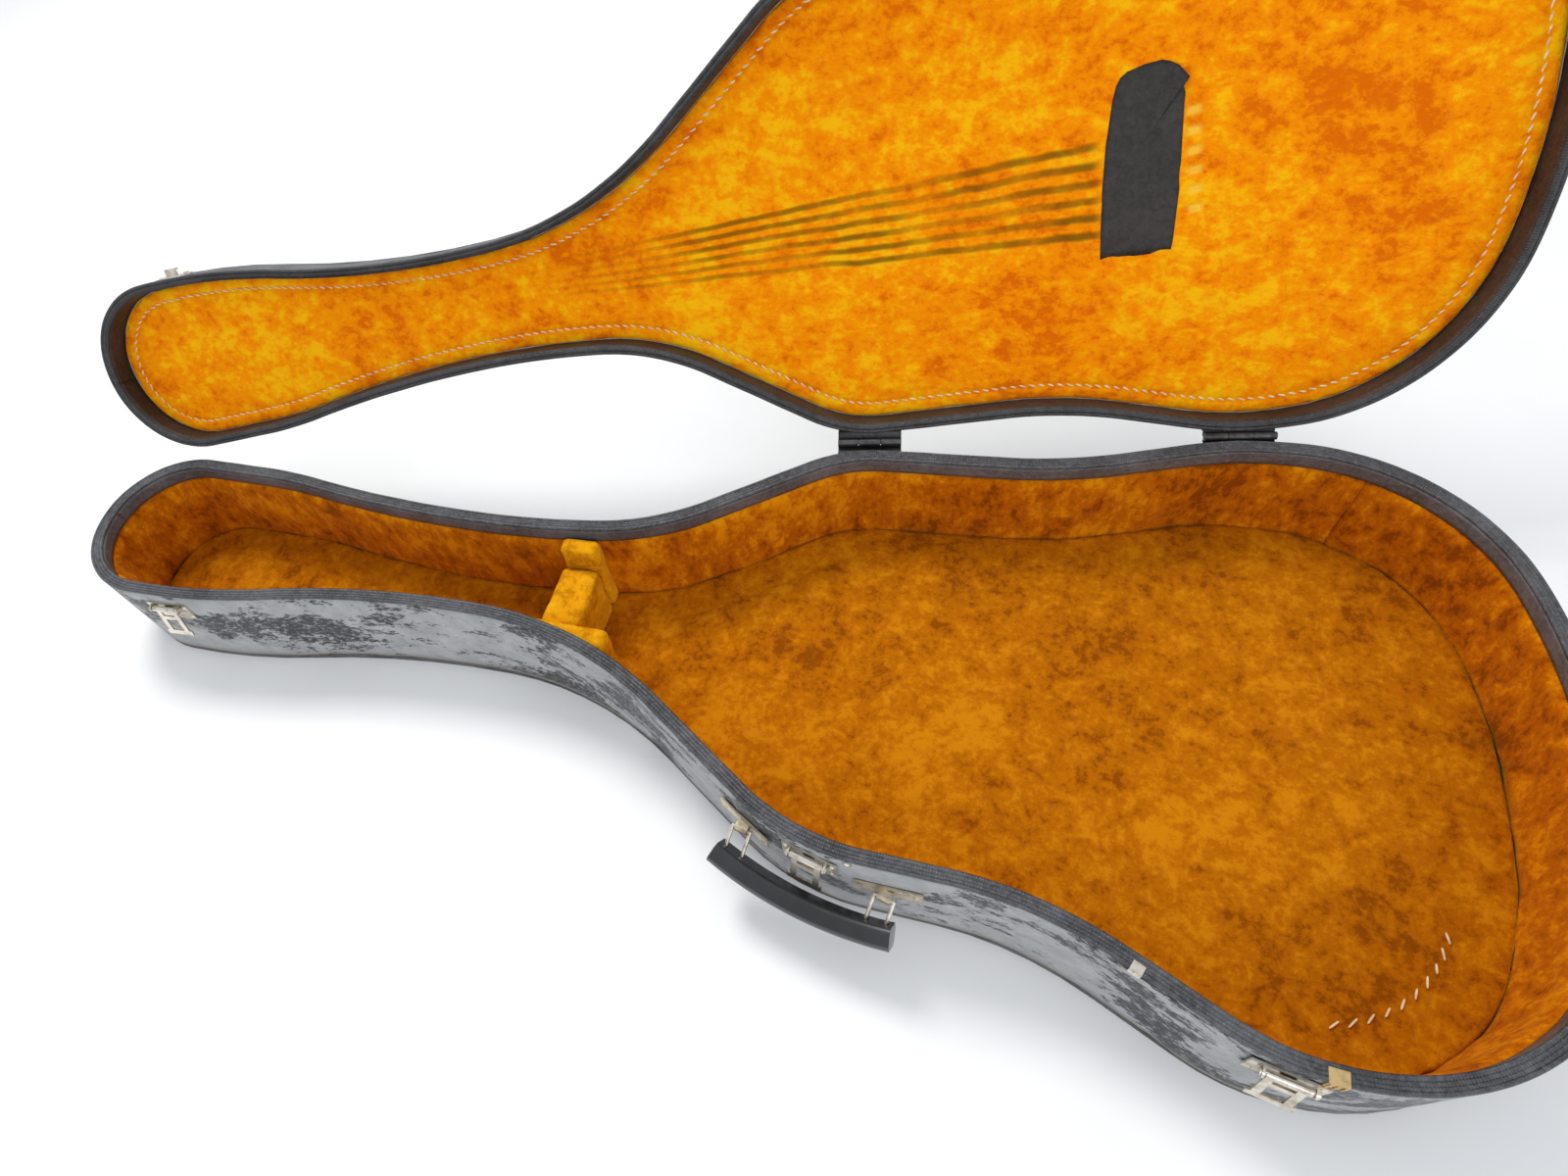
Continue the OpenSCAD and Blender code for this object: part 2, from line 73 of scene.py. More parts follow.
SEAM_LAP = 0.004
SKIN_GAP = 0.0001                   # keeps padding off the board behind it

# Each side from the head to the tail corner, in millimetres and degrees: [radius, turn] is an
# arc, convex where the radius is positive, and [0, length] is a straight.
FAR = [[70, 90], [0, 60], [400, 8], [-1100, 8], [-813, 8], [-190, 28], [0, 88], [112, 32],
       [0, 92], [-340, 15], [0, 45], [230, 19]]
NEAR = [[74, 90], [560, 13], [-830, 13], [-290, 33], [0, 90], [165, 33], [0, 50],
        [-245, 24], [0, 54], [132, 24]]
FAR_CORNER = 0.142                  # radii of the tail corners
NEAR_CORNER = 0.145
TAIL_R = 0.420                      # radius of the tail
CORNER_STEPS = 44
TAIL_STEPS = 24
ARC_STEP = 0.004


# ---- outline ----
def walk(segs, corner):
    """Points along one side from the middle of the head to the middle of the tail."""
    p = np.array([-HALF, 0.0])
    head = 90.0
    pts = [p.copy()]
    for radius, turn in segs:
        r = radius / 1000
        if radius == 0:
            length = turn / 1000
            n = max(1, round(length / ARC_STEP))
            d = np.array([math.cos(math.radians(head)), math.sin(math.radians(head))])
            for k in range(1, n + 1):
                pts.append(p + d * length * k / n)
        else:
            s = 1 if r > 0 else -1
            c = p + r * np.array([math.sin(math.radians(head)), -math.cos(math.radians(head))])
            n = max(2, math.ceil(abs(r) * math.radians(turn) / ARC_STEP))
            for k in range(1, n + 1):
                a = math.radians(head - s * turn * k / n)
                pts.append(c + r * np.array([-math.sin(a), math.cos(a)]))
            head -= s * turn
        p = pts[-1].copy()
    y_corner = p[1] - corner
    x_tail = HALF - TAIL_R
    x_corner = x_tail + math.sqrt((TAIL_R - corner) ** 2 - y_corner ** 2)
    phi = math.asin((x_corner - x_tail) / (TAIL_R - corner))
    for k in range(CORNER_STEPS + 1):
        a = phi * k / CORNER_STEPS
        pts.append(np.array([x_corner + corner * math.sin(a), y_corner + corner * math.cos(a)]))
    for k in range(1, TAIL_STEPS + 1):
        a = phi + (math.pi / 2 - phi) * k / TAIL_STEPS
        pts.append(np.array([x_tail + TAIL_R * math.sin(a), TAIL_R * math.cos(a)]))
    return np.array(pts)


far_pts = walk(FAR, FAR_CORNER)
near_pts = walk(NEAR, NEAR_CORNER) * [1, -1]
LOOP = np.vstack([far_pts, near_pts[::-1][1:-1]])
tangent = np.roll(LOOP, -1, 0) - np.roll(LOOP, 1, 0)
tangent /= np.linalg.norm(tangent, axis=1)[:, None]
NORMAL = np.stack([-tangent[:, 1], tangent[:, 0]], 1)
ARC = np.concatenate([[0], np.cumsum(np.linalg.norm(np.diff(LOOP, axis=0), axis=1))])
N_FAR = len(far_pts)
COUNT = len(LOOP)

hinge_t = Vector((math.cos(HINGE_TURN), math.sin(HINGE_TURN), 0))
hinge_n = Vector((-math.sin(HINGE_TURN), math.cos(HINGE_TURN), 0))
hinge_o = hinge_n * HINGE_OFF + Vector((0, 0, HINGE_Z))
OPEN_M = (Matrix.Translation(hinge_o) @ Matrix.Rotation(-OPEN, 4, hinge_t)
          @ Matrix.Translation(-hinge_o))


def wobble(x, y, z, scale, seed=0.0):
    """Smooth unevenness, from -1 to 1, with features about 1/scale across."""
    return noise.noise(Vector((x * scale + seed, y * scale - seed, z * scale)))


def add_piece(name, verts, faces, mat, body, uvs=None, node=()):
    """One mesh that rides a body. The lid's pieces are laid out shut and then opened."""
    if body == "lid":
        verts = [OPEN_M @ Vector(v) for v in verts]
    mesh = bpy.data.meshes.new(name)
    mesh.from_pydata([tuple(v) for v in verts], [], faces)
    if uvs is not None:
        layer = mesh.uv_layers.new(name="plan")
        for loop in mesh.loops:
            layer.data[loop.index].uv = uvs[loop.vertex_index]
    mesh.validate()
    mesh.update()
    obj = bpy.data.objects.new(name, mesh)
    bpy.context.scene.collection.objects.link(obj)
    mesh.materials.append(mat)
    for polygon in mesh.polygons:
        polygon.use_smooth = True
    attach(obj, body)
    if node:
        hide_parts(*node)
    return obj


def stations(side="loop"):
    """Indices round the outline, for the whole loop or one side."""
    if side == "far":
        return list(range(N_FAR))
    if side == "near":
        return list(range(N_FAR - 1, COUNT)) + [0]
    return list(range(COUNT))


def sweep(name, prof, ids, mat, body, bump, scale, closed=False, node=()):
    """Runs a cross-section of (depth inside the outline, height) round the outline.

    bump and scale give the height and the fineness of the unevenness along it.
    """
    verts, uvs, faces = [], [], []
    m = len(prof)
    for i in ids:
        x, y = LOOP[i]
        for d, z in prof:
            w = bump * wobble(x, y, z, scale)
            verts.append((x - NORMAL[i][0] * (d + w), y - NORMAL[i][1] * (d + w), z))
            uvs.append((ARC[i], z))
    n = len(ids)
    for a in range(n if closed else n - 1):
        b = (a + 1) % n
        for k in range(m):
            k2 = (k + 1) % m
            faces.append((a * m + k, b * m + k, b * m + k2, a * m + k2))
    if not closed:
        faces.append(tuple(range(m)))
        faces.append(tuple((n - 1) * m + k for k in reversed(range(m))))
    add_piece(name, verts, faces, mat, body, uvs, node)


# ---- materials ----
class Nodes:
    """Small helper round one material's node tree."""

    def __init__(self, name, **inputs):
        self.mat = bpy.data.materials.new(name)
        self.mat.use_nodes = True
        self.tree = self.mat.node_tree
        self.bsdf = self.tree.nodes["Principled BSDF"]
        for key, value in inputs.items():
            self.bsdf.inputs[key.replace("_", " ")].default_value = value
        self.coord = self.tree.nodes.new("ShaderNodeTexCoord")

    def new(self, kind, **props):
        n = self.tree.nodes.new(kind)
        for key, value in props.items():
            setattr(n, key, value)
        return n

    def link(self, a, b):
        self.tree.links.new(a, b)

    def put(self, socket, value):
        if hasattr(value, "is_output"):
            self.link(value, socket)
        else:
            socket.default_value = value

    def space(self, stretch):
        m = self.new("ShaderNodeMapping")
        m.inputs["Scale"].default_value = stretch
        self.link(self.coord.outputs["Object"], m.inputs["Vector"])
        return m.outputs["Vector"]

    def axes(self, source):
        n = self.new("ShaderNodeSeparateXYZ")
        self.link(self.coord.outputs[source], n.inputs["Vector"])
        return n.outputs

    def noise(self, scale, detail=4, rough=0.55, vec=None, distort=0.0):
        n = self.new("ShaderNodeTexNoise")
        n.inputs["Scale"].default_value = scale
        n.inputs["Detail"].default_value = detail
        n.inputs["Roughness"].default_value = rough
        n.inputs["Distortion"].default_value = distort
        self.link(vec if vec is not None else self.coord.outputs["Object"], n.inputs["Vector"])
        return n.outputs["Fac"]

    def cells(self, scale):
        n = self.new("ShaderNodeTexVoronoi")
        n.inputs["Scale"].default_value = scale
        self.link(self.coord.outputs["Object"], n.inputs["Vector"])
        return n.outputs["Distance"]

    def math(self, op, a, b=0.0, c=0.0):
        n = self.new("ShaderNodeMath", operation=op)
        self.put(n.inputs[0], a)
        self.put(n.inputs[1], b)
        self.put(n.inputs[2], c)
        return n.outputs[0]

    def band(self, value, lo, hi):
        """0 below lo, 1 above hi, smooth between."""
        n = self.new("ShaderNodeMapRange", interpolation_type="SMOOTHSTEP")
        self.put(n.inputs["Value"], value)
        n.inputs["From Min"].default_value = lo
        n.inputs["From Max"].default_value = hi
        return n.outputs["Result"]

    def below(self, value, lo, hi):
        """1 below lo, 0 above hi, smooth between."""
        return self.math("SUBTRACT", 1.0, self.band(value, lo, hi))

    def from_nearest(self, value):
        """Distance from the nearest whole number."""
        return self.math("ABSOLUTE", self.math("SUBTRACT", value, self.math("ROUND", value)))

    def mix(self, fac, a, b):
        n = self.new("ShaderNodeMix", data_type="RGBA")
        self.put(n.inputs["Factor"], fac)
        for socket, value in ((n.inputs[6], a), (n.inputs[7], b)):
            if hasattr(value, "is_output"):
                self.link(value, socket)
            else:
                socket.default_value = (*value, 1)
        return n.outputs[2]

    def bump(self, height, strength, distance):
        n = self.new("ShaderNodeBump")
        n.inputs["Strength"].default_value = strength
        n.inputs["Distance"].default_value = distance
        self.link(height, n.inputs["Height"])
        return n.outputs["Normal"]

    def finish(self, colour, rough, normal):
        self.link(colour, self.bsdf.inputs["Base Color"])
        self.link(normal, self.bsdf.inputs["Normal"])
        if rough is not None:
            self.link(rough, self.bsdf.inputs["Roughness"])
        return self.mat


STRINGS_FROM = -0.098               # where the strings' lines begin and how far they run
STRINGS_RUN = 0.370
STRING_SPREAD = 0.011               # how far the first string moves across on the way
STRING_PITCH = 0.0058               # spacing at the start, and what it gains
STRING_PITCH_GAIN = 0.0060
MARKS_X = 0.340                     # crushed marks beside the patch
MARKS_Y = -0.008
MARK_PITCH = 0.0126
MARK_LENGTH = 0.016


def string_lines(n, colour, height):
    """Six dark lines, where strings pressed the plush down, that fan out towards the patch."""
    plan = n.axes("UV")
    along = n.math("DIVIDE", n.math("ADD", plan["X"], -STRINGS_FROM), STRINGS_RUN)
    first = n.math("MULTIPLY_ADD", along, STRING_SPREAD, -STRING_SPREAD)
    pitch = n.math("MULTIPLY_ADD", along, STRING_PITCH_GAIN, STRING_PITCH)
    wander = n.math("MULTIPLY_ADD", n.noise(26, 2, 0.5), 0.5, -0.25)
    rank = n.math("ADD", n.math("DIVIDE", n.math("SUBTRACT", plan["Y"], first), pitch), wander)
    line = n.below(n.from_nearest(rank), 0.08, 0.34)
    inside = n.math("MULTIPLY", n.band(rank, -0.5, -0.3), n.below(rank, 5.3, 5.5))
    reach = n.math("MULTIPLY", n.band(along, -0.22, 0.40), n.below(along, 1.0, 1.03))
    patchy = n.math("MULTIPLY_ADD", n.band(n.noise(16, 3, 0.6), 0.3, 0.6), 0.6, 0.4)
    line = n.math("MULTIPLY", n.math("MULTIPLY", line, inside), n.math("MULTIPLY", reach, patchy))
    colour = n.mix(n.math("MULTIPLY", line, 0.85), colour, (0.17, 0.085, 0.004))
    return colour, n.math("SUBTRACT", height, n.math("MULTIPLY", line, 1.2))


def crushed_marks(n, colour, height):
    """Six short pale marks in a row."""
    plan = n.axes("UV")
    rank = n.math("DIVIDE", n.math("ADD", plan["Y"], -MARKS_Y), MARK_PITCH)
    across = n.math("ABSOLUTE", n.math("DIVIDE", n.math("SUBTRACT", plan["X"], MARKS_X),
                                       MARK_LENGTH))
    mark = n.math("MULTIPLY", n.below(n.from_nearest(rank), 0.10, 0.34),
                  n.below(across, 0.12, 0.42))
    mark = n.math("MULTIPLY", mark, n.math("MULTIPLY", n.band(rank, -0.5, -0.4),
                                           n.below(rank, 5.4, 5.5)))
    colour = n.mix(n.math("MULTIPLY", mark, 0.7), colour, (1.0, 0.62, 0.06))
    return colour, n.math("SUBTRACT", height, n.math("MULTIPLY", mark, 0.8))


def plush(name, deep, mid, bright, prints=False, lean=(1, 1, 1)):
    """Crushed pile: broad patches, streaks and flecks add up to pick between three tones."""
    n = Nodes(name, Roughness=0.9, Sheen_Weight=0.22, Sheen_Roughness=0.4,
              Sheen_Tint=(1.0, 0.55, 0.08, 1), Specular_IOR_Level=0.04)
    space = n.space(lean)
    broad = n.noise(8, 5, 0.62, space, 0.15)
    streak = n.noise(60, 8, 0.75, space, 0.2)
    fleck = n.noise(190, 3, 0.6, space)
    pile = n.noise(1100, 2, 0.6)
    crush = n.math("MULTIPLY_ADD", streak, 0.70, n.math("MULTIPLY", broad, 0.42))
    crush = n.math("ADD", crush, n.math("MULTIPLY_ADD", fleck, 0.22, -0.11))
    colour = n.mix(n.band(crush, 0.44, 0.55), deep, mid)
    colour = n.mix(n.band(crush, 0.54, 0.68), colour, bright)
    height = n.math("MULTIPLY_ADD", pile, 0.25, n.math("MULTIPLY_ADD", streak, 0.6, fleck))
    if prints:
        colour, height = string_lines(n, colour, height)
        colour, height = crushed_marks(n, colour, height)
    return n.finish(colour, None, n.bump(height, 0.75, 0.0012))


def dusted(n, colour, dust):
    """Pale dust and rubbed grain in soft patches, with the roughness that goes with them."""
    cover = n.band(n.noise(15, 8, 0.72, n.space((0.7, 0.7, 1.5)), 0.25), 0.45, 0.55)
    grainy = n.noise(260, 4, 0.7, n.space((0.8, 0.8, 1.6)), 0.2)
    rubbed = n.band(n.math("ADD", grainy, n.math("MULTIPLY", cover, 0.30)), 0.50, 0.68)
    film = n.mix(n.noise(60, 5, 0.7), (0.20, 0.21, 0.23), (0.60, 0.60, 0.59))
    return (n.mix(n.math("MULTIPLY", rubbed, dust), colour, film),
            n.math("MULTIPLY_ADD", rubbed, 0.35, 0.42))


def worn_foot(n, colour):
    """Vinyl rubbed through in a narrow uneven line just above the bottom board."""
    ragged = n.math("MULTIPLY_ADD", n.noise(45, 4, 0.7), 0.006, -0.003)
    edge = n.below(n.math("ADD", n.axes("Object")["Z"], ragged), 0.007, 0.0105)
    return n.mix(n.math("MULTIPLY", edge, 0.75), colour, (0.42, 0.36, 0.28))


WEAVE = 3600.0                      # radians of weave for each metre along the binding


def vinyl(name, dark, light, dust=0.0, rough=0.45, grain=900, ribs=False, wear=False):
    """Leather-grained vinyl: pores and creases, uneven tone, and dust, wear or ribs if asked."""
    n = Nodes(name, Roughness=rough, Specular_IOR_Level=0.45)
    pores = n.cells(grain)
    creases = n.noise(grain * 0.35, 4, 0.6, None, 0.8)
    tone = n.noise(22, 4, 0.6)
    colour = n.mix(n.band(n.math("MULTIPLY_ADD", creases, 0.5, n.math("MULTIPLY", tone, 0.5)),
                          0.35, 0.68), dark, light)
    roughness = n.math("MULTIPLY_ADD", tone, 0.25, rough - 0.1)
    height = n.math("MULTIPLY_ADD", creases, 0.6, pores)
    if dust:
        colour, roughness = dusted(n, colour, dust)
    if wear:
        colour = worn_foot(n, colour)
    if ribs:
        weave = n.math("SINE", n.math("MULTIPLY", n.axes("UV")["X"], WEAVE))
        height = n.math("MULTIPLY_ADD", weave, 0.35, height)
    return n.finish(colour, roughness, n.bump(height, 0.5, 0.0005))


def metal(name, clean, stained, rough):
    """Plated metal with stained spots and fine pitting."""
    n = Nodes(name, Metallic=1.0, Roughness=rough)
    spots = n.noise(160, 5, 0.7)
    haze = n.noise(40, 3, 0.6)
    colour = n.mix(n.band(n.math("MULTIPLY_ADD", spots, 0.5, n.math("MULTIPLY", haze, 0.5)),
                          0.42, 0.66), clean, stained)
    roughness = n.math("MULTIPLY_ADD", spots, 0.35, rough - 0.1)
    return n.finish(colour, roughness, n.bump(n.noise(900, 3, 0.6), 0.2, 0.0003))


def plain(name, dark, light, scale, rough, bump=0.3, **inputs):
    """Two close tones, uneven gloss and a fine grain."""
    n = Nodes(name, Roughness=rough, **inputs)
    tone = n.noise(scale, 4, 0.6)
    return n.finish(n.mix(n.band(tone, 0.35, 0.65), dark, light),
                    n.math("MULTIPLY_ADD", tone, 0.2, rough - 0.1),
                    n.bump(n.noise(scale * 12, 3, 0.6), bump, 0.0003))


lid_gold = plush("plush_lid", (0.76, 0.150, 0.001), (0.96, 0.28, 0.001), (1.0, 0.50, 0.004),
                 prints=True, lean=(0.8, 1.0, 1.0))
# floor plush: a darker copy of the lid's plush, whose dark tones are painted shade of the case's
# inside
floor_plush_painted_shade = plush("plush_base_painted_shade", (0.25, 0.062, 0.001), (0.43, 0.125, 0.001), (0.58, 0.21, 0.003))
# wall plush: a darker copy of the lid's plush, whose dark tones are painted shade on the walls
wall_plush_painted_shade = plush("plush_wall_painted_shade", (0.26, 0.056, 0.001), (0.50, 0.130, 0.001), (0.76, 0.28, 0.003),
                  lean=(1, 1, 0.6))
rest_gold = plush("plush_rest", (0.50, 0.19, 0.002), (0.72, 0.31, 0.004), (0.86, 0.44, 0.012))
dusty = vinyl("vinyl_dusty", (0.012, 0.013, 0.015), (0.04, 0.04, 0.045), dust=0.9, wear=True)
black = vinyl("vinyl_black", (0.012, 0.012, 0.013), (0.035, 0.035, 0.038), dust=0.3)
board = vinyl("vinyl_board", (0.012, 0.012, 0.013), (0.045, 0.045, 0.048), dust=0.22, grain=520)
binding = vinyl("vinyl_binding", (0.030, 0.031, 0.035), (0.10, 0.105, 0.115), rough=0.36,
                grain=700, ribs=True)
lid_bind = vinyl("vinyl_lid_binding", (0.020, 0.020, 0.021), (0.055, 0.055, 0.058), rough=0.4,
                 grain=700, ribs=True)
# inner vinyl band: a light grey with painted light, the lit tone of the far side, put on the band
# all round
band_painted_light = vinyl("vinyl_inner_painted_light", (0.060, 0.062, 0.066), (0.15, 0.155, 0.165), rough=0.42)
# lid's inner vinyl band: a shaded copy of the inner vinyl, dark brown with painted shade
lid_band = vinyl("vinyl_lid_inner_painted_shade", (0.016, 0.010, 0.007), (0.060, 0.042, 0.032), rough=0.5)
patch_mat = vinyl("vinyl_patch", (0.010, 0.009, 0.008), (0.040, 0.035, 0.029), rough=0.6,
                  grain=520)
nickel = metal("metal_nickel", (0.78, 0.73, 0.64), (0.42, 0.35, 0.26), 0.26)
hinge_dark = metal("metal_hinge", (0.10, 0.10, 0.105), (0.05, 0.045, 0.04), 0.42)
brassy = metal("metal_brassy", (0.66, 0.58, 0.44), (0.34, 0.27, 0.18), 0.38)
tab_brass = metal("metal_tab", (0.72, 0.52, 0.25), (0.36, 0.24, 0.12), 0.36)
grip_mat = plain("grip_gloss", (0.006, 0.006, 0.007), (0.016, 0.016, 0.018), 30, 0.22, 0.1,
                 Coat_Weight=0.4, Coat_Roughness=0.12)
thread = plain("thread_cream", (0.72, 0.52, 0.26), (0.92, 0.76, 0.50), 300, 0.8)
ply = plain("plywood", (0.42, 0.28, 0.15), (0.56, 0.40, 0.24), 60, 0.75)
raw_edge = plain("raw_edge", (0.50, 0.38, 0.24), (0.70, 0.58, 0.42), 90, 0.8)


def node_material(name):
    """The material of a CAD node that is carried over as it is."""
    if name == "handle_grip":
        return grip_mat
    if name == "rim_tab":
        return tab_brass
    if "_side_" in name:
        return ply
    if name.startswith("hinge"):
        return hinge_dark
    if name.startswith(("handle_plate", "handle_riv")):
        return brassy
    if name.startswith(("latch", "hasp", "lid_catch", "wire", "rim_")):
        return nickel
    return board


for name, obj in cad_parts.items():
    if not obj.material_slots:
        obj.data.materials.append(node_material(name))
    for slot in obj.material_slots:
        slot.material = node_material(name)


# ---- side covers, bindings and bands ----
def rungs(lo, hi, n):
    return [lo + (hi - lo) * k / n for k in range(n + 1)]


def cover_profile(z0, z1, n=10):
    return [(0.0, z) for z in rungs(z0, z1, n)] + [(COVER, z) for z in rungs(z1, z0, 2)]


cover_top = RIM - BINDING
lid_cover_foot = LID_Z + BINDING
for part in ("near", "far"):
    sweep(f"base_cover_{part}_skin", cover_profile(BOARD, cover_top), stations(part), dusty,
          "base", bump=0.0007, scale=24, node=[f"base_cover_{part}"])
for part in ("near", "far"):
    sweep(f"lid_cover_{part}_skin", cover_profile(lid_cover_foot, LID_UNDER, 5),
          stations(part), black, "lid", bump=0.0004, scale=24, node=[f"lid_cover_{part}"])


BEAD_STEPS = 6
BEAD_SEAT = 0.0009                  # how far the beads' centres lie under the rim's face


def beaded(z_rim, up, wide, beads):
    """Binding section: a strip with rounded beads along the rim. up is 1, or -1 on the lid."""
    z_back = z_rim - BINDING * up
    pts = [(0.0, z_back), (-0.0003, z_rim - 0.0016 * up)]
    for centre, r, rise in beads:
        for k in range(BEAD_STEPS + 1):
            a = math.pi * k / BEAD_STEPS
            pts.append((centre - r * math.cos(a), z_rim - (BEAD_SEAT - rise * math.sin(a)) * up))
    return pts + [(wide, z_rim - 0.0012 * up), (wide, z_back)]


# depth of the centre, half width and rise of each bead
base_beads = [(0.0011, 0.0011, 0.0009), (0.0034, 0.0010, 0.0005), (0.0057, 0.0011, 0.0006),
              (0.0083, 0.0013, 0.0007)]
lid_beads = [(0.0012, 0.0012, 0.0008), (0.0038, 0.0012, 0.0006)]
sweep("base_binding_beaded", beaded(RIM, 1, BAND_IN, base_beads), stations(), binding, "base",
      closed=True, bump=0.0003, scale=40, node=["base_binding"])
sweep("lid_binding_beaded", beaded(LID_Z, -1, LID_BAND_IN, lid_beads), stations(), lid_bind,
      "lid", closed=True, bump=0.0002, scale=40, node=["lid_binding"])


def band_profile(d0, d1, z0, z1, n=4):
    return [(d1, z) for z in rungs(z0, z1, n)] + [(d0, z) for z in rungs(z1, z0, 2)]


# vinyl band inside each rim; the base's band is coloured with painted light, the lid's with
# painted shade
for part in ("near", "far"):
    sweep(f"base_band_{part}_strip", band_profile(WALL_IN, BAND_IN, PLUSH_TOP, cover_top),
          stations(part), band_painted_light, "base", bump=0.0003, scale=50, node=[f"base_band_{part}"])
    sweep(f"lid_band_{part}_strip",
          band_profile(LID_WALL_IN, LID_BAND_IN, lid_cover_foot, LID_UNDER),
          stations(part), lid_band, "lid", bump=0.0002, scale=50, node=[f"lid_band_{part}"])
# thin raw edge where the lid's inner vinyl meets its board
RAW_EDGE_THICK = 0.0007
RAW_EDGE_TALL = 0.0012
sweep("lid_raw_edge", band_profile(LID_BAND_IN, LID_BAND_IN + RAW_EDGE_THICK,
                                   LID_UNDER - RAW_EDGE_TALL, LID_UNDER - SKIN_GAP, 1),
      stations(), raw_edge, "lid", closed=True, bump=0.0003, scale=90)


# ---- plush on the walls ----
LINING_ROLL = 0.005                 # height over which the top edge rolls in
LINING_STEPS = 14
LINING_SKIN = 0.0005                # thickness with no padding in it
LINING_LEAST = 0.0002               # the least that its unevenness leaves
LINING_EDGE = 0.0003                # padding at its top edge
LINING_FULL = 0.0032                # padding in the middle, over that
SEAM_PINCH = 0.55                   # share of the thickness that is left at a seam


def lining(name, ids, node, seed):
    """Padded wall lining, full in the middle, rolled in at its top and pinched at its ends."""
    face = []
    for z in rungs(BOARD, PLUSH_TOP, LINING_STEPS):
        roll = min(1.0, (PLUSH_TOP - z) / LINING_ROLL)
        round_off = math.sqrt(max(0.0, 1 - (1 - roll) ** 2))
        face.append((LINING_EDGE + LINING_FULL * round_off, z))
    back = [(WALL_IN, PLUSH_TOP), (WALL_IN, BOARD)]
    verts, uvs, faces = [], [], []
    m = len(face) + len(back)
    last = len(ids) - 1
    for j, i in enumerate(ids):
        x, y = LOOP[i]
        from_seam = min(1.0, min(j, last - j) / 2.0)
        pinch = SEAM_PINCH + (1 - SEAM_PINCH) * from_seam
        depths = []
        for fill, z in face:
            puff = 0.0016 * wobble(x, y, z, 26, seed) + 0.0008 * wobble(x, y, z, 70, seed)
            d = WALL_IN + LINING_SKIN + fill * pinch + puff
            depths.append((max(WALL_IN + LINING_LEAST, d), z))
        for d, z in depths + back:
            verts.append((x - NORMAL[i][0] * d, y - NORMAL[i][1] * d, z))
            uvs.append((ARC[i], z))
    for a in range(last):
        for k in range(m):
            k2 = (k + 1) % m
            faces.append((a * m + k, (a + 1) * m + k, (a + 1) * m + k2, a * m + k2))
    faces.append(tuple(range(m)))
    faces.append(tuple(last * m + k for k in reversed(range(m))))
    piece = add_piece(name, verts, faces, wall_plush_painted_shade, "base", uvs, [node])


far_ids, near_ids = stations("far"), stations("near")
head_ids = [i for i in near_ids if LOOP[i][0] <= HEAD_SEAM + SEAM_LAP][:-1] + [
    i for i in far_ids if LOOP[i][0] <= HEAD_SEAM + SEAM_LAP]
tail_ids = [i for i in far_ids if LOOP[i][0] >= TAIL_SEAM - SEAM_LAP] + [
    i for i in near_ids if LOOP[i][0] >= TAIL_SEAM - SEAM_LAP][1:]
lining("lining_head_plush", head_ids, "lining_head", 1.0)
lining("lining_far_plush", [i for i in far_ids if HEAD_SEAM <= LOOP[i][0] <= TAIL_SEAM],
       "lining_far", 2.0)
lining("lining_near_plush", [i for i in near_ids if HEAD_SEAM <= LOOP[i][0] <= TAIL_SEAM],
       "lining_near", 3.0)
lining("lining_tail_plush", tail_ids, "lining_tail", 4.0)


# ---- plush panels that fill the plan: the floor and the lid's liner ----
PANEL_ROLL = 0.005                  # width over which a panel's edge rolls down
EDGE_EASE = 0.12 / math.pi          # crowds the grid towards the two long edges
SEAM_HALF = 0.0016                  # half width of the channel that the stitches pull in


def plan_grid(d, cols, rows):
    """Grid of plan points between the two long edges, d inside the outline, and the ring."""
    ring = LOOP - NORMAL * d
    far_e = ring[:N_FAR]
    near_e = np.vstack([ring[N_FAR - 1:], ring[:1]])[::-1]
    u = 0.25 * (1 - np.cos(np.linspace(0, math.pi, cols + 1))) / 2 + 0.75 * np.linspace(
        0, 1, cols + 1)
    v = np.linspace(0, 1, rows + 1)
    v = v + EDGE_EASE * np.sin(2 * math.pi * (v - 0.5))
    grid = []
    for x in -HALF + d + 2 * (HALF - d) * u:
        y_far = float(np.interp(x, far_e[:, 0], far_e[:, 1]))
        y_near = float(np.interp(x, near_e[:, 0], near_e[:, 1]))
        grid += [(x, y_near + (y_far - y_near) * t) for t in v]
    return np.array(grid), ring


def edge_distance(grid, ring, batch=200):
    """Distance of each grid point from the ring, taken a batch of ring points at a time."""
    dist = np.full(len(grid), np.inf)
    for k in range(0, len(ring), batch):
        part = ring[k:k + batch]
        dist = np.minimum(dist, np.linalg.norm(grid[:, None, :] - part[None], axis=2).min(1))
    return dist


